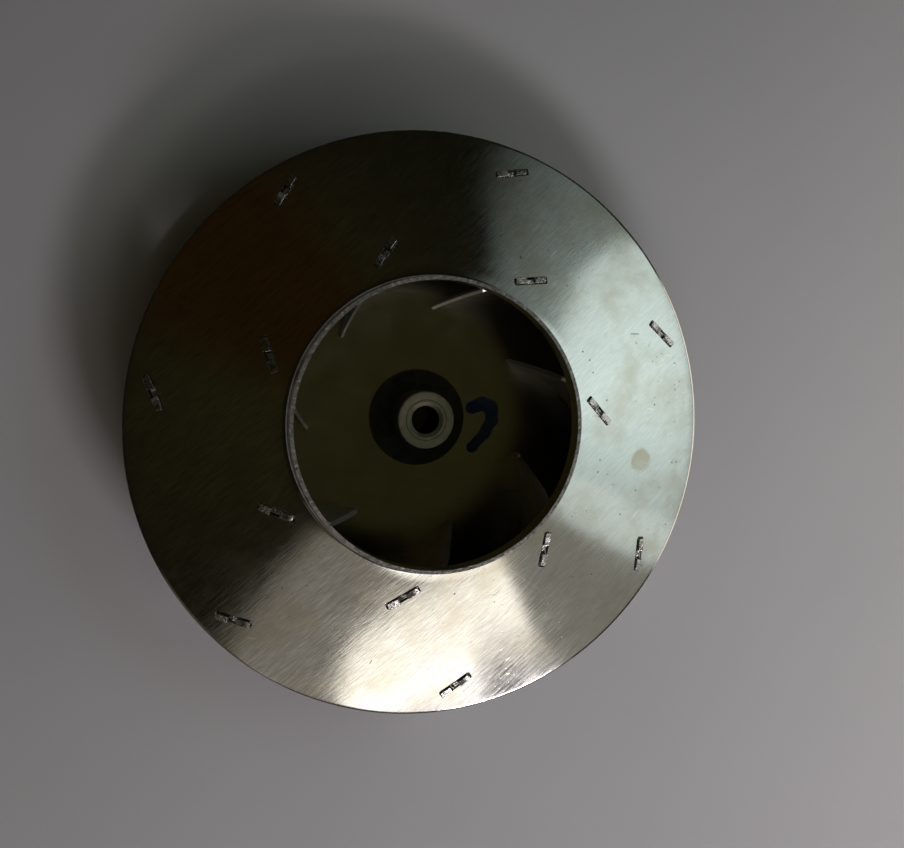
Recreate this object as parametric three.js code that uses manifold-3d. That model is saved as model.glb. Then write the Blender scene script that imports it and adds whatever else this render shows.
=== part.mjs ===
// Shrouded centrifugal fan wheel of a vacuum motor, in millimetres.
// +Z runs up the shaft axis towards the inlet eye, and Z = 0 is the rear face of the hub.

import * as THREE from 'three';
import { mergeVertices } from 'three/addons/utils/BufferGeometryUtils.js';
import Module from 'manifold-3d';

// Wheel
const outerRadius = 66.5;
const sheet = 0.8;
const vaneCount = 7;
const outletWidth = 10.4;
const overallHeight = 29.8;
const roundSegments = 84;

// Hub stack, from the rear face upwards
const boreRadius = 3.175;
const bossRadius = 6.55;
const bossLength = 10.9;
const boreChamfer = 0.8;
const bossChamfer = 0.25;
const spigotRadius = 5;
const rivetRadius = 6.2;
const rivetHeight = 0.8;
const washerRadius = 11.3;
const washerThickness = 0.95;
const hubClearance = 0.15;
const hubSegments = 48;

// Shroud section
const coneSlope = 0.305;
const rimRollRadius = 2.5;
const rimRollAngle = THREE.MathUtils.degToRad(18);
const rimRollSteps = 4;
const eyeRadius = 31.15;
const collarFillet = 1.8;
const collarFilletSteps = 4;

// Vane: one circular arc in plan, from its foot by the hub to the rim
const vaneArcRadius = 46;
const vaneArcOffset = 29.75;
const firstVaneAngle = THREE.MathUtils.degToRad(-28.75);
const footRadius = 26;
const trailingRadius = 65.2;
const leadingTopRadius = 31.2;
const footHeight = 0.9;
const vaneSteps = 20;
const vaneGap = 0.2;

// Staked tangs, and the slots they come through
const tangRadii = [38.8, 60.3];
const tangLength = 7.6;
const slotLength = 8.2;
const slotWidth = 1.7;
const lugLength = 2.7;
const lugReach = 1.2;
const lugRoot = 0.05;
const lugLift = 0.08;
const lugHeight = 0.4;
const middleLength = 1.9;
const middleReach = 0.7;
const middleHeight = 0.12;

// Heights worked out from the driving dimensions
const rearWasherBottom = rivetHeight;
const plateBottom = rearWasherBottom + washerThickness;
const plateTop = plateBottom + sheet;
const frontWasherTop = plateTop + washerThickness;
const bossTop = frontWasherTop + bossLength;
const rimHeight = plateTop + outletWidth + sheet * Math.cos(Math.atan(coneSlope) + rimRollAngle);
const coneAngle = Math.atan(coneSlope);

const wasm = await Module();
wasm.setup();

function toSolid(geometry) {
  const bare = geometry.clone();
  bare.deleteAttribute('normal');
  bare.deleteAttribute('uv');
  const merged = mergeVertices(bare, 1e-4);
  const mesh = new wasm.Mesh({
    numProp: 3,
    vertProperties: new Float32Array(merged.attributes.position.array),
    triVerts: new Uint32Array(merged.index.array),
  });
  return new wasm.Manifold(mesh);
}

function toGeometry(solid) {
  const mesh = solid.getMesh();
  const geometry = new THREE.BufferGeometry();
  geometry.setAttribute('position', new THREE.BufferAttribute(mesh.vertProperties, 3));
  geometry.setIndex(new THREE.BufferAttribute(mesh.triVerts, 1));
  geometry.computeVertexNormals();
  return geometry;
}

// A closed section turned once round the Z axis.
function turned(section, segments) {
  const lathe = new THREE.LatheGeometry([...section, section[0].clone()], segments);
  lathe.rotateX(Math.PI / 2);
  return lathe;
}

function arcPoints(centre, radius, fromAngle, toAngle, steps) {
  return Array.from({ length: steps + 1 }, (_, i) => {
    const angle = fromAngle + ((toAngle - fromAngle) * i) / steps;
    return new THREE.Vector2(centre.x + radius * Math.cos(angle), centre.y + radius * Math.sin(angle));
  });
}

// Both faces of the shroud are arcs about the same two centres, one sheet apart.
const rollCentre = new THREE.Vector2(
  outerRadius - rimRollRadius * Math.sin(coneAngle + rimRollAngle),
  rimHeight - rimRollRadius * Math.cos(coneAngle + rimRollAngle),
);
const coneFoot = new THREE.Vector2(
  rollCentre.x + rimRollRadius * Math.sin(coneAngle),
  rollCentre.y + rimRollRadius * Math.cos(coneAngle),
);

function coneTop(radius) {
  return coneFoot.y + coneSlope * (coneFoot.x - radius);
}

const filletX = eyeRadius + sheet + collarFillet;
const filletCentre = new THREE.Vector2(filletX, coneTop(filletX) + collarFillet / Math.cos(coneAngle));

function shroudFace(depth) {
  const roll = arcPoints(
    rollCentre,
    rimRollRadius - depth,
    Math.PI / 2 - coneAngle - rimRollAngle,
    Math.PI / 2 - coneAngle,
    rimRollSteps,
  );
  const fillet = arcPoints(
    filletCentre,
    collarFillet + depth,
    1.5 * Math.PI - coneAngle,
    Math.PI,
    collarFilletSteps,
  );
  const lip = new THREE.Vector2(filletX - collarFillet - depth, overallHeight);
  return [...roll, ...fillet, lip];
}

const shroudTopFace = shroudFace(0);
const shroudUnderFace = shroudFace(sheet);

// Height of a shroud face at a radius outside the collar.
function faceHeight(face, radius) {
  for (let i = 1; i < face.length; i += 1) {
    const a = face[i - 1];
    const b = face[i];
    if (radius <= a.x && radius >= b.x) {
      return b.y + ((a.y - b.y) * (radius - b.x)) / (a.x - b.x);
    }
  }
  return face[0].y;
}

const shroudTop = (radius) => faceHeight(shroudTopFace, radius);
const shroudUnder = (radius) => (
  radius < filletX
    ? coneTop(radius) - sheet / Math.cos(coneAngle)
    : faceHeight(shroudUnderFace, radius)
);

// Place along the vane's arc: turn is the angle at the arc's centre from the line to the wheel's axis.
function turnAtRadius(radius) {
  const cosine = (vaneArcOffset ** 2 + vaneArcRadius ** 2 - radius ** 2) / (2 * vaneArcOffset * vaneArcRadius);
  return Math.acos(cosine);
}

function vanePlan(turn, side) {
  const direction = firstVaneAngle + Math.PI - turn;
  const reach = vaneArcRadius + side;
  return new THREE.Vector2(
    vaneArcOffset * Math.cos(firstVaneAngle) + reach * Math.cos(direction),
    vaneArcOffset * Math.sin(firstVaneAngle) + reach * Math.sin(direction),
  );
}

function evenTurns(fromTurn, toTurn, steps) {
  return Array.from({ length: steps + 1 }, (_, i) => fromTurn + ((toTurn - fromTurn) * i) / steps);
}

// A bar bent along the vane's arc, between two sides, with heights given by radius.
function bentBar(turns, innerSide, outerSide, low, high) {
  const positions = [];
  const index = [];
  turns.forEach((turn) => {
    [innerSide, outerSide].forEach((side) => {
      const plan = vanePlan(turn, side);
      const radius = plan.length();
      positions.push(plan.x, plan.y, low(radius), plan.x, plan.y, high(radius));
    });
  });
  const quad = (a, b, c, d) => index.push(a, b, c, a, c, d);
  for (let i = 0; i < turns.length - 1; i += 1) {
    const here = 4 * i;
    const next = here + 4;
    quad(here + 1, next + 1, next + 3, here + 3);
    quad(here, here + 2, next + 2, next);
    quad(here, next, next + 1, here + 1);
    quad(here + 2, here + 3, next + 3, next + 2);
  }
  const last = 4 * (turns.length - 1);
  quad(0, 1, 3, 2);
  quad(last, last + 2, last + 3, last + 1);
  const geometry = new THREE.BufferGeometry();
  geometry.setAttribute('position', new THREE.Float32BufferAttribute(positions, 3));
  geometry.setIndex(index);
  return toSolid(geometry);
}

function tangTurns(tangRadius, along, length) {
  const centre = turnAtRadius(tangRadius) + along / vaneArcRadius;
  const half = length / 2 / vaneArcRadius;
  return evenTurns(centre - half, centre + half, Math.max(1, Math.round(length / 2.5)));
}

// One tang: its stem, two end lugs struck to the outer side and the middle pushed to the inner side.
// face gives the plate's outside face, and away is +1 above the shroud or -1 under the back plate.
function stakedTang(tangRadius, face, away) {
  const at = (offset) => (radius) => face(radius) + away * offset;
  const bar = (turns, inner, outer, near, far) => (
    away > 0
      ? bentBar(turns, inner, outer, at(near), at(far))
      : bentBar(turns, inner, outer, at(far), at(near))
  );
  const stemDepth = -(sheet / Math.cos(coneAngle) + vaneGap + 0.6);
  const stem = bar(tangTurns(tangRadius, 0, tangLength), -sheet / 2, sheet / 2, stemDepth, lugLift + 0.02);
  const lugs = [-1, 1].map((end) => (
    bar(
      tangTurns(tangRadius, (end * (tangLength - lugLength)) / 2, lugLength),
      lugRoot,
      lugReach,
      lugLift,
      lugLift + lugHeight,
    )
  ));
  const middle = bar(tangTurns(tangRadius, 0, middleLength), -middleReach, lugRoot, -sheet / 2, middleHeight);
  return lugs.reduce((solid, lug) => solid.add(lug), stem.add(middle));
}

function leadingEdge(radius) {
  const top = shroudUnder(leadingTopRadius) - vaneGap;
  const foot = plateTop + footHeight;
  return foot + ((top - foot) * (radius - footRadius)) / (leadingTopRadius - footRadius);
}

function vaneTop(radius) {
  return Math.min(Math.max(leadingEdge(radius), plateTop + footHeight), shroudUnder(radius) - vaneGap);
}

function vaneSolid() {
  const turns = evenTurns(turnAtRadius(footRadius), turnAtRadius(trailingRadius), vaneSteps);
  const web = bentBar(turns, -sheet / 2, sheet / 2, () => plateTop, vaneTop);
  return tangRadii.reduce((solid, tangRadius) => (
    solid
      .add(stakedTang(tangRadius, shroudTop, 1))
      .add(stakedTang(tangRadius, () => plateBottom, -1))
  ), web);
}

function slotCutters() {
  const cutters = [];
  for (let k = 0; k < vaneCount; k += 1) {
    tangRadii.forEach((tangRadius) => {
      const turn = turnAtRadius(tangRadius);
      const plan = vanePlan(turn, 0);
      const cutter = new THREE.BoxGeometry(slotLength, slotWidth, 2 * overallHeight);
      cutter.rotateZ(firstVaneAngle + Math.PI / 2 - turn);
      cutter.translate(plan.x, plan.y, 0);
      cutter.rotateZ((-2 * Math.PI * k) / vaneCount);
      cutters.push(toSolid(cutter));
    });
  }
  return cutters;
}

function cutSlots(solid) {
  return slotCutters().reduce((rest, cutter) => rest.subtract(cutter), solid);
}

function shroudGeometry() {
  const section = [...shroudTopFace, ...[...shroudUnderFace].reverse()];
  return toGeometry(cutSlots(toSolid(turned(section, roundSegments))));
}

// A flat ring with square edges.
function ringSection(innerRadius, ringRadius, bottom, top) {
  return [
    new THREE.Vector2(ringRadius, bottom),
    new THREE.Vector2(ringRadius, top),
    new THREE.Vector2(innerRadius, top),
    new THREE.Vector2(innerRadius, bottom),
  ];
}

function backPlateGeometry() {
  const section = ringSection(spigotRadius + hubClearance, outerRadius, plateBottom, plateTop);
  return toGeometry(cutSlots(toSolid(turned(section, roundSegments))));
}

function washerGeometry(bottom) {
  const section = ringSection(spigotRadius + hubClearance, washerRadius, bottom, bottom + washerThickness);
  return turned(section, hubSegments);
}

function bushingGeometry() {
  const rearChamfer = boreChamfer / 2;
  const section = [
    [boreRadius + rearChamfer, 0],
    [rivetRadius - bossChamfer, 0],
    [rivetRadius, bossChamfer],
    [rivetRadius, rivetHeight],
    [spigotRadius, rivetHeight],
    [spigotRadius, frontWasherTop],
    [bossRadius, frontWasherTop],
    [bossRadius, bossTop - bossChamfer],
    [bossRadius - bossChamfer, bossTop],
    [boreRadius + boreChamfer, bossTop],
    [boreRadius, bossTop - boreChamfer],
    [boreRadius, rearChamfer],
  ].map(([x, y]) => new THREE.Vector2(x, y));
  return turned(section, hubSegments);
}

const aluminium = new THREE.MeshStandardMaterial({ color: 0xa9aaa4, roughness: 0.34, metalness: 1 });
const innerAluminium = new THREE.MeshStandardMaterial({ color: 0x94927f, roughness: 0.42, metalness: 1 });
const vaneAluminium = new THREE.MeshStandardMaterial({ color: 0xa2a29b, roughness: 0.4, metalness: 1 });
const turnedSteel = new THREE.MeshStandardMaterial({ color: 0x8f8a7c, roughness: 0.45, metalness: 1 });
const darkSteel = new THREE.MeshStandardMaterial({ color: 0x23241f, roughness: 0.5, metalness: 0.8 });

const wheel = new THREE.Group();

function addPiece(name, geometry, material) {
  const piece = new THREE.Mesh(geometry, material);
  piece.name = name;
  wheel.add(piece);
  return piece;
}

addPiece('shroud', shroudGeometry(), aluminium);
addPiece('back_plate', backPlateGeometry(), innerAluminium);
const vaneGeometry = toGeometry(vaneSolid());
for (let k = 0; k < vaneCount; k += 1) {
  const vane = addPiece(`vane_${k + 1}`, vaneGeometry, vaneAluminium);
  vane.rotation.z = (-2 * Math.PI * k) / vaneCount;
}
addPiece('hub_bushing', bushingGeometry(), turnedSteel);
addPiece('front_washer', washerGeometry(plateTop), darkSteel);
addPiece('rear_washer', washerGeometry(rearWasherBottom), darkSteel);

export default wheel;
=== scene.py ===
import math
import random

import bmesh
import bpy
from mathutils import Euler, Matrix, Vector


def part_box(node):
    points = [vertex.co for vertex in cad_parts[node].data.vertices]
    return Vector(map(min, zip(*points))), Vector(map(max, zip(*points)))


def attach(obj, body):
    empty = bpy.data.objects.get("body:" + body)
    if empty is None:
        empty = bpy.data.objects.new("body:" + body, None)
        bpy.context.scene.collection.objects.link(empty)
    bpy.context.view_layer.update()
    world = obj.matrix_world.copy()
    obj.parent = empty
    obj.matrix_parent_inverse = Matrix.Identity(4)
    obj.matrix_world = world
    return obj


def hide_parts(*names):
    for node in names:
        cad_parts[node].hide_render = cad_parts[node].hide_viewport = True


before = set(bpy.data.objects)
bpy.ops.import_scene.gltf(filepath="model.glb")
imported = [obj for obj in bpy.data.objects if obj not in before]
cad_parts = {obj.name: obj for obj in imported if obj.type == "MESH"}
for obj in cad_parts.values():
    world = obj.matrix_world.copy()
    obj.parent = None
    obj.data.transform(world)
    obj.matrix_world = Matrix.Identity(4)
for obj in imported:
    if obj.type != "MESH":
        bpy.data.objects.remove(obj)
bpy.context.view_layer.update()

mm = 0.001
fullTurn = 2 * math.pi
up = Vector((0, 0, 1))
scene = bpy.context.scene
random.seed(11)

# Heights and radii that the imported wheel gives
shroudLow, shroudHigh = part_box("shroud")
plateLow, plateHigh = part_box("back_plate")
frontWasherLow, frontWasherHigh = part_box("front_washer")
rearWasherLow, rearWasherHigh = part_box("rear_washer")
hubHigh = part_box("hub_bushing")[1]
outerRadius = shroudHigh.x
lipHeight = shroudHigh.z
plateTop = plateHigh.z
plateBottom = plateLow.z
sheet = plateTop - plateBottom
print("frame loaded, outer radius", round(outerRadius / mm, 2), "mm")


# Mesh helpers
mergeDistance = 0.001 * mm
edgeAngles = {  # degrees past which an edge is shaded sharp, bevelled, or picked to be rounded
    "sharp": 35,
    "bevelled": 38,
    "picked": 40,
}


def pieceFrom(name, bm, sharpAngle=edgeAngles["sharp"]):
    for face in bm.faces:
        face.smooth = True
    for edge in bm.edges:
        edge.smooth = edge.calc_face_angle(0) < math.radians(sharpAngle)
    mesh = bpy.data.meshes.new(name)
    bm.to_mesh(mesh)
    bm.free()
    piece = bpy.data.objects.new(name, mesh)
    scene.collection.objects.link(piece)
    return piece


def softenEdges(piece, width):
    bevel = piece.modifiers.new("softEdges", "BEVEL")
    bevel.width = width
    bevel.segments = 2
    bevel.limit_method = "ANGLE"
    bevel.angle_limit = math.radians(edgeAngles["bevelled"])
    bevel.harden_normals = True


# Rounds the sharp edges that a test picks from a finished mesh.
def roundEdges(piece, picks, width):
    pickedAngle = math.radians(edgeAngles["picked"])
    bm = bmesh.new()
    bm.from_mesh(piece.data)
    edges = [edge for edge in bm.edges if edge.calc_face_angle(0) > pickedAngle and picks(edge)]
    bmesh.ops.bevel(
        bm, geom=edges, offset=width, affect="EDGES", segments=3, profile=0.5, material=-1
    )
    bm.to_mesh(piece.data)
    bm.free()


def dress(piece, slotName, node, *materials):
    for material in materials:
        piece.data.materials.append(material)
    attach(piece, "root")
    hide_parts(node)


def spinRound(bm, steps):
    bmesh.ops.spin(
        bm, geom=bm.verts[:] + bm.edges[:], cent=(0, 0, 0), axis=up,
        angle=fullTurn, steps=steps, use_merge=True,
    )
    bmesh.ops.remove_doubles(bm, verts=bm.verts, dist=mergeDistance)


def ringSection(innerRadius, ringRadius, bottom, top):
    return [(ringRadius, bottom), (ringRadius, top), (innerRadius, top), (innerRadius, bottom)]


# Turns a closed section of (radius, height) corners once round the shaft axis.
def turnedRing(section, steps):
    bm = bmesh.new()
    corners = [bm.verts.new((radius, 0, height)) for radius, height in section]
    for start, end in zip(corners, corners[1:] + corners[:1]):
        bm.edges.new((start, end))
    spinRound(bm, steps)
    bmesh.ops.recalc_face_normals(bm, faces=bm.faces)
    return bm


# The vertex that a spin of one vertex ends on
def lastVert(result):
    return [item for item in result["geom_last"] if isinstance(item, bmesh.types.BMVert)][0]


# Node helpers
def addNode(tree, kind, inputs=None, **settings):
    made = tree.nodes.new(kind)
    for key, value in settings.items():
        setattr(made, key, value)
    for key, value in (inputs or {}).items():
        if isinstance(value, bpy.types.NodeSocket):
            tree.links.new(value, made.inputs[key])
        else:
            made.inputs[key].default_value = value
    return made


def calculate(tree, operation, first, second=0.0, clamp=False):
    node = addNode(tree, "ShaderNodeMath", {0: first, 1: second}, operation=operation, use_clamp=clamp)
    return node.outputs[0]


def remap(tree, value, fromLow, fromHigh, toLow=0.0, toHigh=1.0):
    inputs = {
        "Value": value, "From Min": fromLow, "From Max": fromHigh, "To Min": toLow, "To Max": toHigh,
    }
    return addNode(tree, "ShaderNodeMapRange", inputs).outputs["Result"]


def vectorMath(tree, operation, first, second=(0, 0, 0), output="Vector"):
    node = addNode(tree, "ShaderNodeVectorMath", {0: first, 1: second}, operation=operation)
    return node.outputs[output]


def scaleColour(tree, colour, factor):
    inputs = {0: colour[:3], "Scale": factor}
    return addNode(tree, "ShaderNodeVectorMath", inputs, operation="SCALE").outputs["Vector"]


def blendColour(tree, factor, first, second):
    node = addNode(tree, "ShaderNodeMix", {0: factor, 6: first, 7: second}, data_type="RGBA")
    return node.outputs[2]


def noise(tree, vector, scale, detail=2.0, roughness=0.5):
    inputs = {"Vector": vector, "Scale": scale, "Detail": detail, "Roughness": roughness}
    return addNode(tree, "ShaderNodeTexNoise", inputs).outputs["Fac"]


# Grain lines: along and across are the pattern's repeats per metre.
def grain(tree, vector, angle, along, across, detail=2.0):
    turned = addNode(
        tree, "ShaderNodeMapping", {"Vector": vector, "Rotation": (0, 0, -angle)}, vector_type="POINT"
    )
    stretched = addNode(
        tree, "ShaderNodeMapping", {"Vector": turned.outputs[0], "Scale": (along, across, along)}
    )
    return noise(tree, stretched.outputs[0], 1.0, detail)


# 1 on a straight mark between two points in plan, 0 away from it
def markMask(tree, vector, start, end, halfWidth, soft=0.5):
    start, end = Vector(start).to_3d() * mm, Vector(end).to_3d() * mm
    middle, span = (start + end) / 2, end - start
    moved = vectorMath(tree, "SUBTRACT", vector, middle)
    turn = {"Vector": moved, "Angle": -math.atan2(span.y, span.x)}
    local = addNode(tree, "ShaderNodeVectorRotate", turn, rotation_type="Z_AXIS").outputs[0]
    folded = vectorMath(tree, "ABSOLUTE", local)
    past = vectorMath(tree, "SUBTRACT", folded, (span.length / 2, 0, 0))
    outside = vectorMath(tree, "MAXIMUM", past)
    distance = vectorMath(tree, "LENGTH", outside, output="Value")
    return remap(tree, distance, halfWidth, halfWidth * soft)


def strongest(tree, masks):
    total = masks[0]
    for mask in masks[1:]:
        total = calculate(tree, "MAXIMUM", total, mask)
    return total


# Marks between pairs of points, and round spots, in millimetres in plan
def marksMask(tree, vector, ends, halfWidth, soft=0.5):
    return strongest(tree, [markMask(tree, vector, *pair, halfWidth, soft) for pair in ends])


def spotsMask(tree, vector, places, radius, soft=0.5):
    return marksMask(tree, vector, [(place, place) for place in places], radius, soft)


# Object coordinates laid flat in plan, with a slight wander, for marks that were made by hand
def planVector(tree, position, wander=0.0, scale=400.0):
    flat = vectorMath(tree, "MULTIPLY", position, (1, 1, 0))
    if not wander:
        return flat
    colour = addNode(tree, "ShaderNodeTexNoise", {"Vector": flat, "Scale": scale}).outputs["Color"]
    centred = vectorMath(tree, "SUBTRACT", colour, (0.5, 0.5, 0.5))
    shift = vectorMath(tree, "MULTIPLY", centred, (wander, wander, 0))
    return vectorMath(tree, "ADD", flat, shift)


# 0 to 1 as the surface's normal rises from the first height to the second
def facing(tree, start=0.3, end=0.6):
    normal = addNode(tree, "ShaderNodeNewGeometry").outputs["True Normal"]
    height = addNode(tree, "ShaderNodeSeparateXYZ", {0: normal}).outputs["Z"]
    return remap(tree, height, start, end)


def newMaterial(name):
    material = bpy.data.materials.new(name)
    material.use_nodes = True
    tree = material.node_tree
    shader = tree.nodes["Principled BSDF"]
    position = addNode(tree, "ShaderNodeTexCoord").outputs["Object"]
    return material, tree, shader, position


def bumpFrom(tree, height, depth, strength, under=None):
    inputs = {"Height": height, "Distance": depth, "Strength": strength}
    if under is not None:
        inputs["Normal"] = under
    return addNode(tree, "ShaderNodeBump", inputs).outputs["Normal"]


# From a finish's dark to its light by a pattern
def twoTone(tree, pattern, finish):
    return blendColour(tree, remap(tree, pattern, *finish["tones"]), finish["dark"], finish["light"])


def joinShader(tree, shader, colour, roughness, relief, metallic=1.0):
    tree.links.new(colour, shader.inputs["Base Color"])
    tree.links.new(roughness, shader.inputs["Roughness"])
    tree.links.new(relief, shader.inputs["Normal"])
    if isinstance(metallic, bpy.types.NodeSocket):
        tree.links.new(metallic, shader.inputs["Metallic"])
    else:
        shader.inputs["Metallic"].default_value = metallic


# Where most of a noise lies
usual = (0.3, 0.7)


# Brushed sheet of the shroud. Patterns are (repeats per metre, detail, roughness), grains are (turn from
# the grain angle, repeats along, repeats across, detail), and marks are in millimetres in plan.
bareMetal = (0.67, 0.66, 0.61, 1)
shroudFinish = {
    "grainAngle": math.radians(42),
    "grains": {
        "fine": (0.0, 230, 3300, 2.0),
        "broad": (0.06, 130, 1300, 2.0),
        "cross": (-0.22, 340, 2500, 1.0),
        "longLines": (0.05, 140, 1900, 1.0),
        "crossLines": (-0.9, 150, 1700, 1.0),
    },
    "mottle": (130, 4.0, 0.6),
    "cloud": (30, 2.0),
    "tarnish": (75, 5.0, 0.62),
    "tarnishRange": (0.46, 0.66, 0.0, 0.75),
    "longCutRange": (0.73, 0.82),
    "crossCutRange": (0.76, 0.84),
    "smallPits": (1150, 1.0),
    "smallPitRange": (0.735, 0.77),
    "pitZone": (0.48, 0.62),
    "handWander": 0.5 * mm,
    "scratches": [
        ((-54.1, -17.1), (-45.4, -9.2)), ((-45.4, -9.2), (-38.6, -3.2)),
        ((-34.0, -40.2), (-19.5, -29.2)), ((-33.3, -41.0), (-22.6, -32.9)),
        ((-2.1, 34.7), (8.5, 41.1)), ((17.5, -33.1), (25.2, -38.5)),
        ((-50.0, 14.0), (-43.5, 20.5)), ((22.0, 37.0), (30.5, 44.2)),
    ],
    "scratchHalfWidth": 0.065 * mm,
    "ticks": [
        ((48.3, 19.7), (50.5, 19.7)), ((49.5, 17.8), (49.7, 17.4)), ((-13.2, -53.4), (-12.8, -52.7)),
    ],
    "tickHalfWidth": 0.13 * mm,
    "pits": [(36.6, 13.7), (39.1, -9.2), (34.8, 15.5), (37.4, 10.8), (38.7, -12.0), (41.0, 4.4)],
    "pitRadius": 0.26 * mm,
    "specks": [(-54.5, 35.0), (-49.6, 33.2), (-53.0, 30.0), (-47.9, 31.0)],
    "speckRadius": 0.35 * mm,
    "stain": (50.4, -9.8),
    "stainRadius": 3.1 * mm,
    "stainEdge": 0.72,
    "stainWander": (1.6 * mm, 260.0),
    "stainRange": (0.3, 0.6, 0.45, 0.85),
    "wornWay": (0.98, -0.10, 0),
    "wornFrom": (4 * mm, 40 * mm),
    # Normal heights of the downward faces, which get a near-black painted shade
    "underside": (-0.2, -0.5),
    "shades": {
        "fine": (0.76, 1.10), "mottle": (0.92, 1.04), "broad": (0.94, 1.04), "cross": (0.88, 1.05),
    },
    "layers": [  # mask, how much of it counts, colour
        ("worn", 0.6, bareMetal),
        ("tarnish", 1.0, (0.52, 0.48, 0.38, 1)),
        ("cuts", 0.55, (0.90, 0.89, 0.85, 1)),
        ("stain", 1.0, (0.58, 0.53, 0.40, 1)),
        ("pits", 0.85, (0.16, 0.15, 0.13, 1)),
        ("specks", 1.0, (0.75, 0.66, 0.45, 1)),
        # painted shade: near-black on the downward faces inside the wheel
        ("under", 1.0, (0.09, 0.085, 0.075, 1)),
    ],
    "roughness": (0.11, 0.15),
    "grainRoughness": (-0.02, 0.03),
    "roughening": {"tarnish": 0.06, "stain": 0.25, "under": 0.4, "pits": 0.2},
    "waves": (0.05 * mm, 0.5),
    "lines": (0.03 * mm, 0.24),
    "crossInLines": 0.5,
    "wornLines": 0.45,
    "hollows": (0.03 * mm, 0.25),
}


def shroudMasks(tree, position):
    finish = shroudFinish
    plan = planVector(tree, position)
    wandering = planVector(tree, position, finish["handWander"])
    lit = facing(tree)
    masks = {
        name: grain(tree, position, finish["grainAngle"] + turn, along, across, detail)
        for name, (turn, along, across, detail) in finish["grains"].items()
    }
    masks["mottle"] = noise(tree, position, *finish["mottle"])
    masks["cloud"] = noise(tree, position, *finish["cloud"])
    # Mask for the painted shade on the faces that look down into the wheel
    masks["under"] = facing(tree, *finish["underside"])
    masks["tarnish"] = remap(tree, noise(tree, position, *finish["tarnish"]), *finish["tarnishRange"])
    acrossSheet = vectorMath(tree, "DOT_PRODUCT", position, finish["wornWay"], "Value")
    masks["worn"] = remap(tree, acrossSheet, *finish["wornFrom"])

    masks["longCuts"] = remap(tree, masks["longLines"], *finish["longCutRange"])
    cuts = strongest(tree, [
        masks["longCuts"],
        remap(tree, masks["crossLines"], *finish["crossCutRange"]),
        marksMask(tree, wandering, finish["scratches"], finish["scratchHalfWidth"]),
    ])
    masks["cuts"] = calculate(tree, "MULTIPLY", cuts, lit)

    smallPits = remap(tree, noise(tree, position, *finish["smallPits"]), *finish["smallPitRange"])
    pitZone = remap(tree, masks["cloud"], *finish["pitZone"])
    masks["smallPits"] = calculate(tree, "MULTIPLY", smallPits, pitZone)
    masks["pits"] = strongest(tree, [
        spotsMask(tree, wandering, finish["pits"], finish["pitRadius"]),
        marksMask(tree, plan, finish["ticks"], finish["tickHalfWidth"]),
        masks["smallPits"],
    ])
    masks["specks"] = spotsMask(tree, wandering, finish["specks"], finish["speckRadius"])

    stainVector = planVector(tree, position, *finish["stainWander"])
    stain = spotsMask(tree, stainVector, [finish["stain"]], finish["stainRadius"], finish["stainEdge"])
    stain = calculate(tree, "MULTIPLY", stain, remap(tree, masks["mottle"], *finish["stainRange"]))
    masks["stain"] = calculate(tree, "MULTIPLY", stain, lit)
    return masks


# Bare metal, greyer in the grain's valleys, under its tarnish, cuts, stain, pits and dust, with a
# near-black painted shade on its downward faces
def shroudColour(tree, masks):
    shade = 1.0
    for name, ends in shroudFinish["shades"].items():
        shade = calculate(tree, "MULTIPLY", shade, remap(tree, masks[name], *usual, *ends))
    colour = scaleColour(tree, bareMetal, shade)
    for name, weight, tint in shroudFinish["layers"]:
        colour = blendColour(tree, calculate(tree, "MULTIPLY", masks[name], weight), colour, tint)
    return colour


def shroudRoughness(tree, masks):
    finish = shroudFinish
    roughness = remap(tree, masks["mottle"], *usual, *finish["roughness"])
    fine = remap(tree, masks["fine"], *usual, *finish["grainRoughness"])
    roughness = calculate(tree, "ADD", roughness, fine)
    for name, weight in finish["roughening"].items():
        more = calculate(tree, "MULTIPLY", masks[name], weight)
        roughness = calculate(tree, "ADD", roughness, more, True)
    return roughness


# From the gentle waves of the pressed sheet to the grain and the cuts
def shroudRelief(tree, masks):
    finish = shroudFinish
    relief = bumpFrom(tree, masks["cloud"], *finish["waves"])
    cross = calculate(tree, "MULTIPLY", masks["cross"], finish["crossInLines"])
    calm = remap(tree, masks["worn"], 0.0, 1.0, 1.0, finish["wornLines"])
    lines = calculate(tree, "MULTIPLY", calculate(tree, "ADD", masks["fine"], cross), calm)
    relief = bumpFrom(tree, lines, *finish["lines"], relief)
    hollows = calculate(tree, "MAXIMUM", masks["longCuts"], masks["smallPits"])
    return bumpFrom(tree, calculate(tree, "SUBTRACT", 0.0, hollows), *finish["hollows"], relief)


def brushedSheet():
    material, tree, shader, position = newMaterial("brushedSheet")
    masks = shroudMasks(tree, position)
    joinShader(
        tree, shader, shroudColour(tree, masks), shroudRoughness(tree, masks), shroudRelief(tree, masks)
    )
    return material


# Sheared and burred edge of a sheet
edgeFinish = {
    "dark": (0.34, 0.33, 0.31, 1),
    "light": (0.74, 0.72, 0.69, 1),
    "tones": (0.35, 0.65),
    "burrs": (1800, 3.0, 0.65),
    "tears": (0.3, 900, 2600, 2.0),
    "chips": (1300, 1.0),
    "chipRange": (0.64, 0.70),
    "chipColour": (0.92, 0.92, 0.90, 1),
    "roughness": (0.34, 0.60),
    "relief": (0.14 * mm, 0.7),
}


def shearedEdge():
    finish = edgeFinish
    material, tree, shader, position = newMaterial("shearedEdge")
    burrs = noise(tree, position, *finish["burrs"])
    tears = grain(tree, position, *finish["tears"])
    chips = remap(tree, noise(tree, position, *finish["chips"]), *finish["chipRange"])
    colour = blendColour(tree, chips, twoTone(tree, burrs, finish), finish["chipColour"])
    roughness = remap(tree, burrs, *usual, *finish["roughness"])
    relief = bumpFrom(tree, calculate(tree, "ADD", burrs, tears), *finish["relief"])
    joinShader(tree, shader, colour, roughness, relief)
    return material


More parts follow.
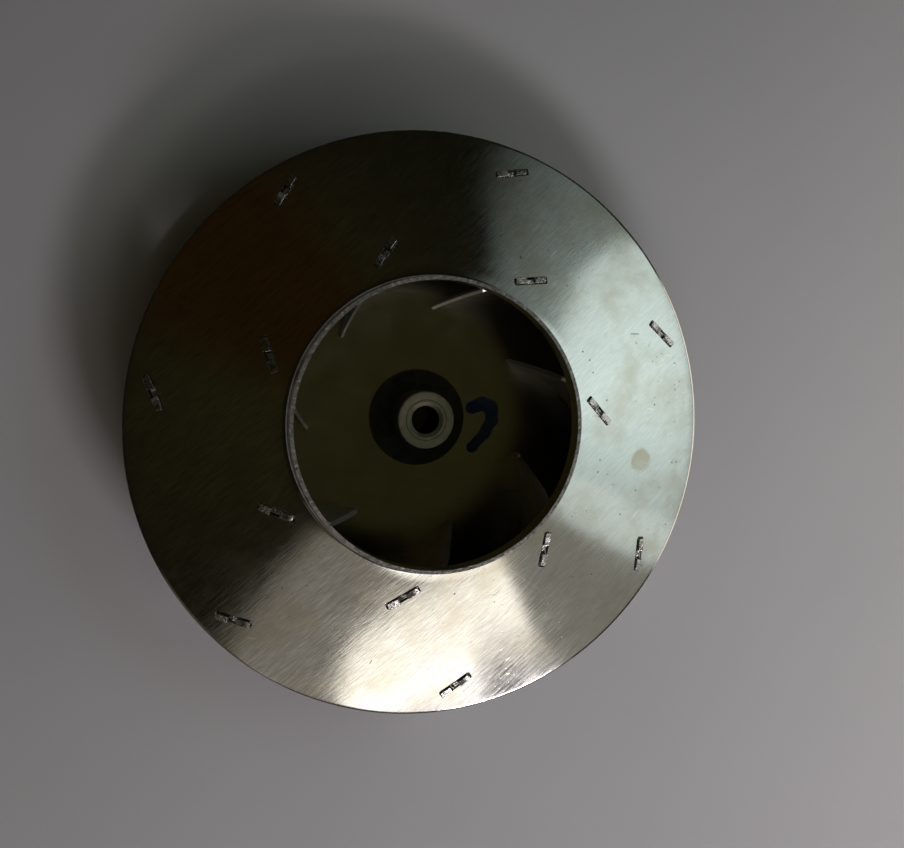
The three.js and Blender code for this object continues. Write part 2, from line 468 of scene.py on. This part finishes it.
# Dulled sheet of the back plate, with a stroke of inspector's ink beside the hub
plateFinish = {
    "colour": (0.60, 0.58, 0.48, 1),
    "grainAngle": math.radians(-8),
    "fine": (70, 2400, 3.0),
    "mottle": (120, 4.0, 0.6),
    "cloud": (35, 2.0),
    "fineShade": (0.9, 1.05),
    "mottleShade": (0.86, 1.06),
    "rubTurn": 0.1,
    "rubs": (160, 1300, 1.0),
    "rubRange": (0.66, 0.74),
    "rubShare": 0.3,
    "rubColour": (0.30, 0.28, 0.20, 1),
    "inkColour": (0.014, 0.05, 0.20, 1),
    "inkPath": [(13.6, 2.0), (16.2, 3.0), (18.4, 1.9), (18.5, -1.2), (16.4, -4.6), (13.4, -7.6)],
    "inkHalfWidths": [1.7, 1.85, 1.65, 1.5, 1.3],
    "inkEdge": 0.88,
    "inkWander": (0.9 * mm, 500.0),
    "inkRange": (0.3, 0.6, 0.75, 1.0),
    "inkRoughness": 0.25,
    "roughness": (0.18, 0.26),
    "waves": (0.08 * mm, 0.4),
    "lines": (0.02 * mm, 0.3),
    "inkAndRubs": (0.02 * mm, 0.4),
}


def inkMask(tree, position, mottle):
    finish = plateFinish
    path = finish["inkPath"]
    vector = planVector(tree, position, *finish["inkWander"])
    ink = strongest(tree, [
        markMask(tree, vector, start, end, halfWidth * mm, finish["inkEdge"])
        for start, end, halfWidth in zip(path, path[1:], finish["inkHalfWidths"])
    ])
    ink = calculate(tree, "MULTIPLY", ink, facing(tree))
    return calculate(tree, "MULTIPLY", ink, remap(tree, mottle, *finish["inkRange"]))


def dullSheet():
    finish = plateFinish
    material, tree, shader, position = newMaterial("dullSheet")
    fine = grain(tree, position, finish["grainAngle"], *finish["fine"])
    mottle = noise(tree, position, *finish["mottle"])
    cloud = noise(tree, position, *finish["cloud"])
    rubs = grain(tree, position, finish["grainAngle"] + finish["rubTurn"], *finish["rubs"])
    rubs = remap(tree, rubs, *finish["rubRange"])
    ink = inkMask(tree, position, mottle)

    shade = remap(tree, fine, *usual, *finish["fineShade"])
    shade = calculate(tree, "MULTIPLY", shade, remap(tree, mottle, *usual, *finish["mottleShade"]))
    colour = scaleColour(tree, finish["colour"], shade)
    rubbed = calculate(tree, "MULTIPLY", rubs, finish["rubShare"])
    colour = blendColour(tree, rubbed, colour, finish["rubColour"])
    colour = blendColour(tree, ink, colour, finish["inkColour"])
    roughness = remap(tree, mottle, *usual, *finish["roughness"])
    inked = calculate(tree, "MULTIPLY", ink, finish["inkRoughness"])
    roughness = calculate(tree, "ADD", roughness, inked, True)
    relief = bumpFrom(tree, cloud, *finish["waves"])
    relief = bumpFrom(tree, fine, *finish["lines"], relief)
    relief = bumpFrom(tree, calculate(tree, "SUBTRACT", ink, rubs), *finish["inkAndRubs"], relief)
    joinShader(tree, shader, colour, roughness, relief, calculate(tree, "SUBTRACT", 1.0, ink))
    return material


# Mill-finish strip of the vanes
vaneFinish = {
    "dark": (0.50, 0.49, 0.45, 1),
    "light": (0.66, 0.65, 0.61, 1),
    "tones": usual,
    "mottle": (200, 3.0, 0.6),
    "texture": (500, 3.0),
    "roughness": (0.34, 0.48),
    "relief": (0.04 * mm, 0.35),
}


def vaneSheet():
    finish = vaneFinish
    material, tree, shader, position = newMaterial("vaneSheet")
    texture = noise(tree, position, *finish["texture"])
    colour = twoTone(tree, noise(tree, position, *finish["mottle"]), finish)
    roughness = remap(tree, texture, *usual, *finish["roughness"])
    joinShader(tree, shader, colour, roughness, bumpFrom(tree, texture, *finish["relief"]))
    return material


# Metal of the tangs, bruised by the staking punch
struckFinish = {
    "dark": (0.46, 0.45, 0.42, 1),
    "light": (0.72, 0.71, 0.68, 1),
    "tones": (0.35, 0.65),
    "bruises": (1500, 3.0, 0.6),
    "teeth": (0.6, 1400, 3600, 1.0),
    "roughness": (0.20, 0.34),
    "relief": (0.14 * mm, 0.8),
}


def struckMetal():
    finish = struckFinish
    material, tree, shader, position = newMaterial("struckMetal")
    bruises = noise(tree, position, *finish["bruises"])
    teeth = grain(tree, position, *finish["teeth"])
    roughness = remap(tree, bruises, *usual, *finish["roughness"])
    relief = bumpFrom(tree, calculate(tree, "ADD", bruises, teeth), *finish["relief"])
    joinShader(tree, shader, twoTone(tree, bruises, finish), roughness, relief)
    return material


hubBore = {
    "radius": 3.175 * mm,
    "chamfer": 0.8 * mm,
    "rearChamfer": 0.4 * mm,
}

# Turned steel of the bushing: rings on its end face, and painted shade in a groove on it, at the bore and
# on its side walls
turnedFinish = {
    "dark": (0.26, 0.25, 0.165, 1),
    "light": (0.39, 0.375, 0.25, 1),
    "tones": usual,
    "mottle": (700, 4.0, 0.6),
    "rings": (3600, 2.0),
    "ringRange": (0.45, 0.7),
    "ringColour": (0.48, 0.46, 0.34, 1),
    "grooveRadius": 4.65 * mm,
    "grooveEdges": (0.16 * mm, 0.05 * mm),
    "boreEdges": (0.15 * mm, -0.02 * mm),
    "sideSlope": (0.1, 0.35),
    "shadows": {"groove": 0.6, "bore": 0.8, "side": 0.85},
    "shadowColour": (0.07, 0.065, 0.055, 1),
    "roughness": (0.52, 0.66),
    "relief": (0.05 * mm, 0.6),
}


def turnedSteel():
    finish = turnedFinish
    material, tree, shader, position = newMaterial("turnedSteel")
    axes = addNode(tree, "ShaderNodeSeparateXYZ", {0: position}).outputs
    radius = vectorMath(tree, "LENGTH", planVector(tree, position), output="Value")
    ringSpot = addNode(tree, "ShaderNodeCombineXYZ", {"X": radius, "Y": 0.0, "Z": axes["Z"]}).outputs[0]
    rings = noise(tree, ringSpot, *finish["rings"])
    mottle = noise(tree, position, *finish["mottle"])
    fromGroove = calculate(tree, "SUBTRACT", radius, finish["grooveRadius"])
    fromGroove = calculate(tree, "ABSOLUTE", fromGroove)
    fromBore = calculate(tree, "SUBTRACT", radius, hubBore["radius"])
    masks = {
        "groove": remap(tree, fromGroove, *finish["grooveEdges"]),
        "bore": remap(tree, fromBore, *finish["boreEdges"]),
        "side": calculate(tree, "SUBTRACT", 1.0, facing(tree, *finish["sideSlope"])),
    }
    # Painted shade in the groove, at the bore and on the side walls
    shadow = strongest(tree, [
        calculate(tree, "MULTIPLY", masks[name], share) for name, share in finish["shadows"].items()
    ])
    ringed = remap(tree, rings, *finish["ringRange"])
    colour = blendColour(tree, ringed, twoTone(tree, mottle, finish), finish["ringColour"])
    colour = blendColour(tree, shadow, colour, finish["shadowColour"])
    roughness = remap(tree, rings, *usual, *finish["roughness"])
    height = calculate(tree, "SUBTRACT", calculate(tree, "ADD", rings, mottle), masks["groove"])
    joinShader(tree, shader, colour, roughness, bumpFrom(tree, height, *finish["relief"]))
    return material


# Blackened steel of the washers
blackFinish = {
    "dark": (0.045, 0.050, 0.050, 1),
    "light": (0.10, 0.105, 0.10, 1),
    "tones": (0.35, 0.7),
    "mottle": (420, 4.0, 0.65),
    "texture": (3000, 2.0),
    "roughness": (0.34, 0.5),
    "metallic": 0.85,
    "relief": (0.02 * mm, 0.35),
}


def blackenedSteel():
    finish = blackFinish
    material, tree, shader, position = newMaterial("blackenedSteel")
    mottle = noise(tree, position, *finish["mottle"])
    roughness = remap(tree, mottle, *usual, *finish["roughness"])
    relief = bumpFrom(tree, noise(tree, position, *finish["texture"]), *finish["relief"])
    joinShader(tree, shader, twoTone(tree, mottle, finish), roughness, relief, finish["metallic"])
    return material


# Matt paper that the wheel lies on
paperFinish = {
    "dark": (0.80, 0.785, 0.82, 1),
    "light": (0.84, 0.825, 0.855, 1),
    "tones": usual,
    "cloud": (14, 3.0),
    "fibre": (1500, 2.0, 0.65),
    "roughness": (0.8, 0.95),
    "relief": (0.08 * mm, 0.5),
}


def mattPaper():
    finish = paperFinish
    material, tree, shader, position = newMaterial("mattPaper")
    fibre = noise(tree, position, *finish["fibre"])
    colour = twoTone(tree, noise(tree, position, *finish["cloud"]), finish)
    roughness = remap(tree, fibre, *usual, *finish["roughness"])
    joinShader(tree, shader, colour, roughness, bumpFrom(tree, fibre, *finish["relief"]), 0.0)
    return material


brushed = brushedSheet()
sheared = shearedEdge()
dull = dullSheet()
strip = vaneSheet()
struck = struckMetal()
turned = turnedSteel()
blackened = blackenedSteel()
paper = mattPaper()
print("materials made:", len(bpy.data.materials))


# Shroud section: rim turned down a little, straight cone, fillet and short collar
shroudForm = {
    "coneSlope": 0.305,
    "rollRadius": 2.5 * mm,
    "rollAngle": math.radians(18),
    "rollSteps": 6,
    "eyeRadius": 31.15 * mm,
    "filletRadius": 1.8 * mm,
    "filletSteps": 8,
    "coneRings": 18,
    "steps": 280,
    "edgeRound": 0.09 * mm,
    "rimRound": 0.25 * mm,
    "rimBand": 0.1 * mm,
}
coneAngle = math.atan(shroudForm["coneSlope"])
coneNormal = Vector((math.sin(coneAngle), 0, math.cos(coneAngle)))
rimTilt = coneAngle + shroudForm["rollAngle"]
rimNormal = Vector((math.sin(rimTilt), 0, math.cos(rimTilt)))
rimEdge = Vector((outerRadius, 0, shroudLow.z + sheet * rimNormal.z))
rollCentre = rimEdge - shroudForm["rollRadius"] * rimNormal
coneFoot = rollCentre + shroudForm["rollRadius"] * coneNormal


# Heights of the shroud's upper and lower faces at a radius
def coneTop(radius):
    return coneFoot.z + shroudForm["coneSlope"] * (coneFoot.x - radius)


def shroudTop(radius):
    if radius <= coneFoot.x:
        return coneTop(radius)
    rollRadius = shroudForm["rollRadius"]
    return rollCentre.z + math.sqrt(max(rollRadius ** 2 - (radius - rollCentre.x) ** 2, 0))


def shroudUnder(radius):
    return shroudTop(radius) - sheet / coneNormal.z


# Vane line in plan: one arc about a centre beside the shaft axis
vaneForm = {
    "count": 7,
    "arcRadius": 46 * mm,
    "arcOffset": 29.75 * mm,
    "firstAngle": math.radians(-28.75),
    "footRadius": 26 * mm,
    "footHeight": 0.9 * mm,
    "leadingTopRadius": 31.2 * mm,
    "trailingRadius": 65.2 * mm,
    "leadingSteps": 6,
    "steps": 44,
    "gap": 0.12 * mm,
    "edgeRound": 0.10 * mm,
}
arcCentre = Matrix.Rotation(vaneForm["firstAngle"], 3, "Z") @ Vector((vaneForm["arcOffset"], 0, 0))


# Angle at the arc's centre from the line to the shaft axis
def turnAtRadius(radius):
    offset, arcRadius = vaneForm["arcOffset"], vaneForm["arcRadius"]
    return math.acos((offset ** 2 + arcRadius ** 2 - radius ** 2) / (2 * offset * arcRadius))


# Point in plan, with side counted outwards from the middle of the strip
def vanePlan(turn, side=0.0):
    direction = vaneForm["firstAngle"] + math.pi - turn
    outwards = Vector((math.cos(direction), math.sin(direction), 0))
    return arcCentre + (vaneForm["arcRadius"] + side) * outwards


def vaneTurn(index):
    return Matrix.Rotation(-fullTurn * index / vaneForm["count"], 4, "Z")


# Slots, and the staked tangs that come through them
tangForm = {
    "radii": (38.8 * mm, 60.3 * mm),
    "length": 7.5 * mm,
    "slotLength": 8.2 * mm,
    "slotWidth": 1.7 * mm,
    "slotCorner": 0.35 * mm,
    "lugLength": 2.65 * mm,
    "step": 0.28 * mm,
    "taper": 0.38 * mm,
    "lugSides": (-0.34 * mm, 1.00 * mm),
    "middleSides": (-0.78 * mm, 0.30 * mm),
    "lugBottom": 0.02 * mm,
    "lugTops": (0.48 * mm, 0.30 * mm),
    "middleBottom": -0.60 * mm,
    "middleTops": (-0.06 * mm, 0.16 * mm),
    "stemDepth": 1.9 * mm,
    "slide": 0.26 * mm,
    "scatter": 0.09 * mm,
    "topShare": 0.7,
    "nudgeShare": 0.6,
    "narrowShare": 0.4,
    "dropShare": 0.3,
}


# Upright blocks with rounded corners, tall enough to pass through both sheets
def slotCutters():
    form = tangForm
    bm = bmesh.new()
    size = Matrix.Diagonal((form["slotLength"], form["slotWidth"], 4 * lipHeight, 1))
    for index in range(vaneForm["count"]):
        for radius in form["radii"]:
            turn = turnAtRadius(radius)
            heading = Matrix.Rotation(vaneForm["firstAngle"] + math.pi / 2 - turn, 4, "Z")
            place = vaneTurn(index) @ Matrix.Translation(vanePlan(turn)) @ heading
            bmesh.ops.create_cube(bm, size=1, matrix=place @ size)
    upright = [edge for edge in bm.edges if abs((edge.verts[0].co - edge.verts[1].co).z) > lipHeight]
    bmesh.ops.bevel(
        bm, geom=upright, offset=form["slotCorner"], affect="EDGES", segments=3, profile=0.5, material=-1
    )
    return pieceFrom("slotCutters", bm)


# Cuts the slots, then keeps the finished mesh in place of the first one.
def cutSlots(piece):
    cutters = slotCutters()
    cut = piece.modifiers.new("slots", "BOOLEAN")
    cut.operation = "DIFFERENCE"
    cut.solver = "EXACT"
    cut.object = cutters
    evaluated = piece.evaluated_get(bpy.context.evaluated_depsgraph_get())
    finished = bpy.data.meshes.new_from_object(evaluated)
    piece.modifiers.clear()
    piece.data = finished
    bpy.data.objects.remove(cutters)


# Upper face of the shroud, from the rim over the cone and the fillet to the collar's lip
def spunFace():
    form = shroudForm
    bm = bmesh.new()
    rim = bm.verts.new(rimEdge)
    rolled = lastVert(bmesh.ops.spin(
        bm, geom=[rim], cent=rollCentre, axis=(0, -1, 0),
        angle=form["rollAngle"], steps=form["rollSteps"],
    ))
    collarRadius = form["eyeRadius"] + sheet
    filletX = collarRadius + form["filletRadius"]
    filletCentre = Vector((filletX, 0, coneTop(filletX) + form["filletRadius"] / coneNormal.z))
    filletStart = filletCentre - form["filletRadius"] * coneNormal
    coneEnd, coneStart = rolled, rolled.co.copy()
    for ring in range(1, form["coneRings"] + 1):
        coneEnd = bmesh.ops.extrude_vert_indiv(bm, verts=[coneEnd])["verts"][0]
        coneEnd.co = coneStart.lerp(filletStart, ring / form["coneRings"])
    filletEnd = lastVert(bmesh.ops.spin(
        bm, geom=[coneEnd], cent=filletCentre, axis=(0, 1, 0),
        angle=math.pi / 2 - coneAngle, steps=form["filletSteps"],
    ))
    lip = bmesh.ops.extrude_vert_indiv(bm, verts=[filletEnd])["verts"][0]
    lip.co = (collarRadius, 0, lipHeight)
    spinRound(bm, form["steps"])
    bmesh.ops.recalc_face_normals(bm, faces=bm.faces)
    if sum(face.normal.z * face.calc_area() for face in bm.faces) < 0:
        bmesh.ops.reverse_faces(bm, faces=bm.faces)
    return bm


def makeShroud():
    form = shroudForm
    shroud = pieceFrom("spunShroud", spunFace())
    shroud.data.materials.append(brushed)
    shroud.data.materials.append(sheared)
    wall = shroud.modifiers.new("wall", "SOLIDIFY")
    wall.thickness = sheet
    wall.offset = -1
    wall.use_even_offset = True
    wall.material_offset_rim = 1
    cutSlots(shroud)
    rimStart = outerRadius - form["rimBand"]
    roundEdges(shroud, lambda edge: edge.verts[0].co.xy.length > rimStart, form["rimRound"])
    softenEdges(shroud, form["edgeRound"])
    dress(shroud, "shroud_aluminium", "shroud")


plateForm = {
    "holeRadius": 5.15 * mm,
    "steps": 280,
    "edgeRound": 0.09 * mm,
}


def makeBackDisc():
    section = ringSection(plateForm["holeRadius"], plateHigh.x, plateBottom, plateTop)
    disc = pieceFrom("backDisc", turnedRing(section, plateForm["steps"]))
    disc.data.materials.append(dull)
    disc.data.materials.append(sheared)
    for face in disc.data.polygons:
        face.material_index = int(abs(face.normal.z) < 0.5)  # the sheared edge on upright faces
    cutSlots(disc)
    softenEdges(disc, plateForm["edgeRound"])
    dress(disc, "plate_aluminium", "back_plate")


# Web of one vane: a strip in plan, raised to the shroud's underside
def vaneWeb(bm):
    form = vaneForm
    turns = [turnAtRadius(form[key]) for key in ("footRadius", "leadingTopRadius", "trailingRadius")]
    ends = [bm.verts.new(vanePlan(turns[0], side) + plateTop * up) for side in (-sheet / 2, sheet / 2)]
    strip = [*ends, bm.edges.new(ends)]
    for start, end, steps in zip(turns, turns[1:], (form["leadingSteps"], form["steps"])):
        strip = bmesh.ops.spin(
            bm, geom=strip, cent=arcCentre, axis=up, angle=start - end, steps=steps
        )["geom_last"]
    raised = bmesh.ops.extrude_face_region(bm, geom=bm.faces[:], use_keep_orig=True)["geom"]
    foot = plateTop + form["footHeight"]
    leadingTop = shroudUnder(form["leadingTopRadius"]) - form["gap"]
    slope = (leadingTop - foot) / (form["leadingTopRadius"] - form["footRadius"])
    for vert in raised:
        if isinstance(vert, bmesh.types.BMVert):
            radius = vert.co.xy.length
            leading = foot + slope * max(radius - form["footRadius"], 0)
            vert.co.z = min(leading, shroudUnder(radius) - form["gap"])


# Block drawn out through a row of stations, each (along, sides, bottom, tops)
def drawnBlock(bm, place, stations):
    def corners(station):
        along, (inner, outer), low, (innerTop, outerTop) = station
        section = ((inner, low), (outer, low), (outer, outerTop), (inner, innerTop))
        return [place(along, side, height) for side, height in section]

    spots = corners(stations[0])
    face = bm.faces.new([bm.verts.new(spot) for spot in spots])
    for index, station in enumerate(stations[1:]):
        result = bmesh.ops.extrude_face_region(bm, geom=[face], use_keep_orig=index == 0)["geom"]
        face = [item for item in result if isinstance(item, bmesh.types.BMFace)][0]
        target = corners(station)
        for vert in face.verts:
            nearest = min(range(4), key=lambda corner: (vert.co - spots[corner]).length)
            vert.co = target[nearest]
        spots = target


# Moves both numbers of a pair by a random amount.
def jitter(pair, amount):
    return tuple(value + random.uniform(-amount, amount) for value in pair)


# One tang: a stem through the slot, and a head whose two ends were struck to one side of its middle
def stakedTang(bm, radius, face, away):
    form = tangForm
    middleTurn = turnAtRadius(radius)
    slide = random.uniform(-form["slide"], form["slide"])

    def place(along, side, height):
        point = vanePlan(middleTurn + (along + slide) / vaneForm["arcRadius"], side)
        return point + (face(point.length) + away * height) * up

    half, scatter = form["length"] / 2, form["scatter"]
    inside = half - form["lugLength"]
    stem = ((-sheet / 2, sheet / 2), -form["stemDepth"], (0.0, 0.0))
    drawnBlock(bm, place, [(-half + scatter, *stem), (half - scatter, *stem)])

    def struckPart(part, topScatter):
        sides, tops = form[part + "Sides"], form[part + "Tops"]
        return jitter(sides, scatter), form[part + "Bottom"], jitter(tops, topScatter)

    def nudged(station):
        sides, bottom, tops = station
        nudge = form["nudgeShare"] * scatter
        return jitter(sides, nudge), bottom, jitter(tops, nudge)

    def tapered(station):
        (inner, outer), bottom, tops = station
        narrow = form["narrowShare"] * form["taper"]
        drop = form["dropShare"] * narrow
        return (inner + narrow, outer - narrow), bottom, tuple(top - drop for top in tops)

    first = struckPart("lug", form["topShare"] * scatter)
    last = struckPart("lug", form["topShare"] * scatter)
    middle = struckPart("middle", scatter)
    drawnBlock(bm, place, [
        (-half, *tapered(first)), (-half + form["taper"], *first), (-inside, *nudged(first)),
        (-inside + form["step"], *middle), (0, *nudged(middle)), (inside - form["step"], *nudged(middle)),
        (inside, *nudged(last)), (half - form["taper"], *last), (half, *tapered(last)),
    ])


def makeVane(index):
    bm = bmesh.new()
    vaneWeb(bm)
    webFaces = len(bm.faces)
    for radius in tangForm["radii"]:
        stakedTang(bm, radius, shroudTop, 1)
        stakedTang(bm, radius, lambda spot: plateBottom, -1)
    bm.faces.ensure_lookup_table()
    for face in bm.faces[webFaces:]:
        face.material_index = 1
    bmesh.ops.recalc_face_normals(bm, faces=bm.faces)
    bm.transform(vaneTurn(index))
    vane = pieceFrom(f"vane{index + 1}", bm)
    softenEdges(vane, vaneForm["edgeRound"])
    dress(vane, "vane_aluminium", f"vane_{index + 1}", strip, struck)


hubForm = {
    "bossRadius": hubHigh.x,
    "spigotRadius": 5 * mm,
    "rivetRadius": 6.2 * mm,
    "edgeChamfer": 0.25 * mm,
    "steps": 128,
    "sharpAngle": 25,
    "edgeRound": 0.07 * mm,
    "washerRound": 0.12 * mm,
}


def makeBushing():
    form, bore = hubForm, hubBore
    rivetTop, seat, top = rearWasherLow.z, frontWasherHigh.z, hubHigh.z
    section = [
        (bore["radius"] + bore["rearChamfer"], 0), (form["rivetRadius"] - form["edgeChamfer"], 0),
        (form["rivetRadius"], form["edgeChamfer"]), (form["rivetRadius"], rivetTop),
        (form["spigotRadius"], rivetTop), (form["spigotRadius"], seat),
        (form["bossRadius"], seat), (form["bossRadius"], top - form["edgeChamfer"]),
        (form["bossRadius"] - form["edgeChamfer"], top), (bore["radius"] + bore["chamfer"], top),
        (bore["radius"], top - bore["chamfer"]), (bore["radius"], bore["rearChamfer"]),
    ]
    bushing = pieceFrom("bushing", turnedRing(section, form["steps"]), form["sharpAngle"])
    softenEdges(bushing, form["edgeRound"])
    dress(bushing, "hub_steel", "hub_bushing", turned)


def makeWasher(name, node, low, high):
    section = ringSection(plateForm["holeRadius"], high.x, low.z, high.z)
    washer = pieceFrom(name, turnedRing(section, hubForm["steps"]))
    softenEdges(washer, hubForm["washerRound"])
    dress(washer, "washer_steel", node, blackened)


makeShroud()
print("shroud spun and slotted")
makeBackDisc()
print("back disc made")
for vaneIndex in range(vaneForm["count"]):
    makeVane(vaneIndex)
print("vanes made and staked")
makeBushing()
makeWasher("washerUnderBoss", "front_washer", frontWasherLow, frontWasherHigh)
makeWasher("washerBehindDisc", "rear_washer", rearWasherLow, rearWasherHigh)
print("hub made")


# Surroundings, in metres
paperSize = 3.0


def makePaper():
    bm = bmesh.new()
    bmesh.ops.create_grid(bm, x_segments=1, y_segments=1, size=paperSize / 2)
    sheetOfPaper = pieceFrom("paper", bm)
    sheetOfPaper.data.materials.append(paper)


# Softboxes round the wheel, each at a compass angle and a height angle seen from it, in degrees
panels = {
    "window": {
        "compass": -66, "height": 25, "distance": 0.70, "spread": 180,
        "size": (0.20, 0.06), "power": 1.05, "colour": (1.0, 0.94, 1.0),
    },
    "windowTop": {
        "compass": -75, "height": 38.5, "distance": 0.42, "spread": 180,
        "size": (0.25, 0.06), "power": 0.076, "colour": (1.0, 0.95, 0.88),
    },
    "windowSide": {
        "compass": -80, "height": 32.5, "distance": 0.58, "spread": 180,
        "size": (0.21, 0.085), "power": 0.078, "colour": (1.0, 0.96, 1.0),
    },
    "windowFade": {
        "compass": -100, "height": 39, "distance": 0.50, "spread": 120,
        "size": (0.26, 0.30), "power": 0.027, "colour": (1.0, 0.92, 0.84),
    },
    "warmCorner": {
        "compass": -125, "height": 25, "distance": 0.50, "spread": 180,
        "size": (0.25, 0.22), "power": 0.0120, "colour": (1.0, 0.88, 0.62),
    },
    "gapFill": {
        "compass": -40, "height": 38, "distance": 0.50, "spread": 180,
        "size": (0.28, 0.24), "power": 0.050, "colour": (1.0, 0.98, 0.88),
    },
    "cool": {
        "compass": 0, "height": 34, "distance": 0.33, "spread": 90,
        "size": (0.33, 0.09), "power": 0.021, "colour": (0.82, 0.98, 1.0),
    },
    "coolFade": {
        "compass": 20, "height": 39, "distance": 0.42, "spread": 66,
        "size": (0.54, 0.15), "power": 0.010, "colour": (0.84, 1.0, 0.97),
    },
    "lowSide": {
        "compass": -4, "height": 14, "distance": 0.27, "spread": 180,
        "size": (0.26, 0.07), "power": 0.08, "colour": (1.0, 0.92, 0.84),
    },
}


def makeLights():
    for name, form in panels.items():
        compass, height = math.radians(form["compass"]), math.radians(form["height"])
        flat = Vector((math.cos(compass), math.sin(compass), 0))
        spot = form["distance"] * (math.cos(height) * flat + math.sin(height) * up)
        data = bpy.data.lights.new(name, "AREA")
        data.shape = "RECTANGLE"
        data.size, data.size_y = form["size"]
        data.spread = math.radians(form["spread"])
        data.energy = form["power"]
        data.color = form["colour"]
        light = bpy.data.objects.new(name, data)
        light.location = spot
        light.rotation_euler = spot.to_track_quat("Z", "Y").to_euler()
        scene.collection.objects.link(light)


# Dim room round the softboxes: olive overhead, darker at the sides, reddish towards one corner
room = {
    "overhead": (0.022, 0.020, 0.0072, 1),
    "sides": (0.0066, 0.0063, 0.0034, 1),
    "overheadFrom": (0.70, 0.93),
    "corner": (0.0145, 0.0070, 0.0017, 1),
    "cornerWay": (-0.37, 0.38, 0.85),
    "cornerFrom": (0.93, 0.985),
}


def makeWorld():
    world = bpy.data.worlds.new("studio")
    world.use_nodes = True
    tree = world.node_tree
    way = addNode(tree, "ShaderNodeTexCoord").outputs["Object"]
    height = addNode(tree, "ShaderNodeSeparateXYZ", {0: way}).outputs["Z"]
    cornerWay = Vector(room["cornerWay"]).normalized()
    nearness = vectorMath(tree, "DOT_PRODUCT", way, cornerWay, "Value")
    overhead = remap(tree, height, *room["overheadFrom"])
    colour = blendColour(tree, overhead, room["sides"], room["overhead"])
    colour = blendColour(tree, remap(tree, nearness, *room["cornerFrom"]), colour, room["corner"])
    tree.links.new(colour, tree.nodes["Background"].inputs["Color"])
    scene.world = world


# Camera over the wheel and a little to one side: place in metres, turn in degrees, lens in millimetres
cameraForm = {
    "place": (-0.04946, 0.01673, 0.26342),
    "turn": (1.389, -13.313, 0.045),
    "lens": 44.29,
    "filmWidth": 36,
    "shift": (-0.0162, -0.1158),
    "clip": (0.01, 20),
}


def makeCamera():
    data = bpy.data.cameras.new("camera")
    data.lens = cameraForm["lens"]
    data.sensor_width = cameraForm["filmWidth"]
    data.shift_x, data.shift_y = cameraForm["shift"]
    data.clip_start, data.clip_end = cameraForm["clip"]
    camera = bpy.data.objects.new("camera", data)
    camera.location = cameraForm["place"]
    camera.rotation_euler = Euler([math.radians(angle) for angle in cameraForm["turn"]])
    scene.collection.objects.link(camera)
    scene.camera = camera


makePaper()
makeLights()
makeWorld()
makeCamera()
scene.view_settings.view_transform = "Standard"
print("stage, lights and camera set")
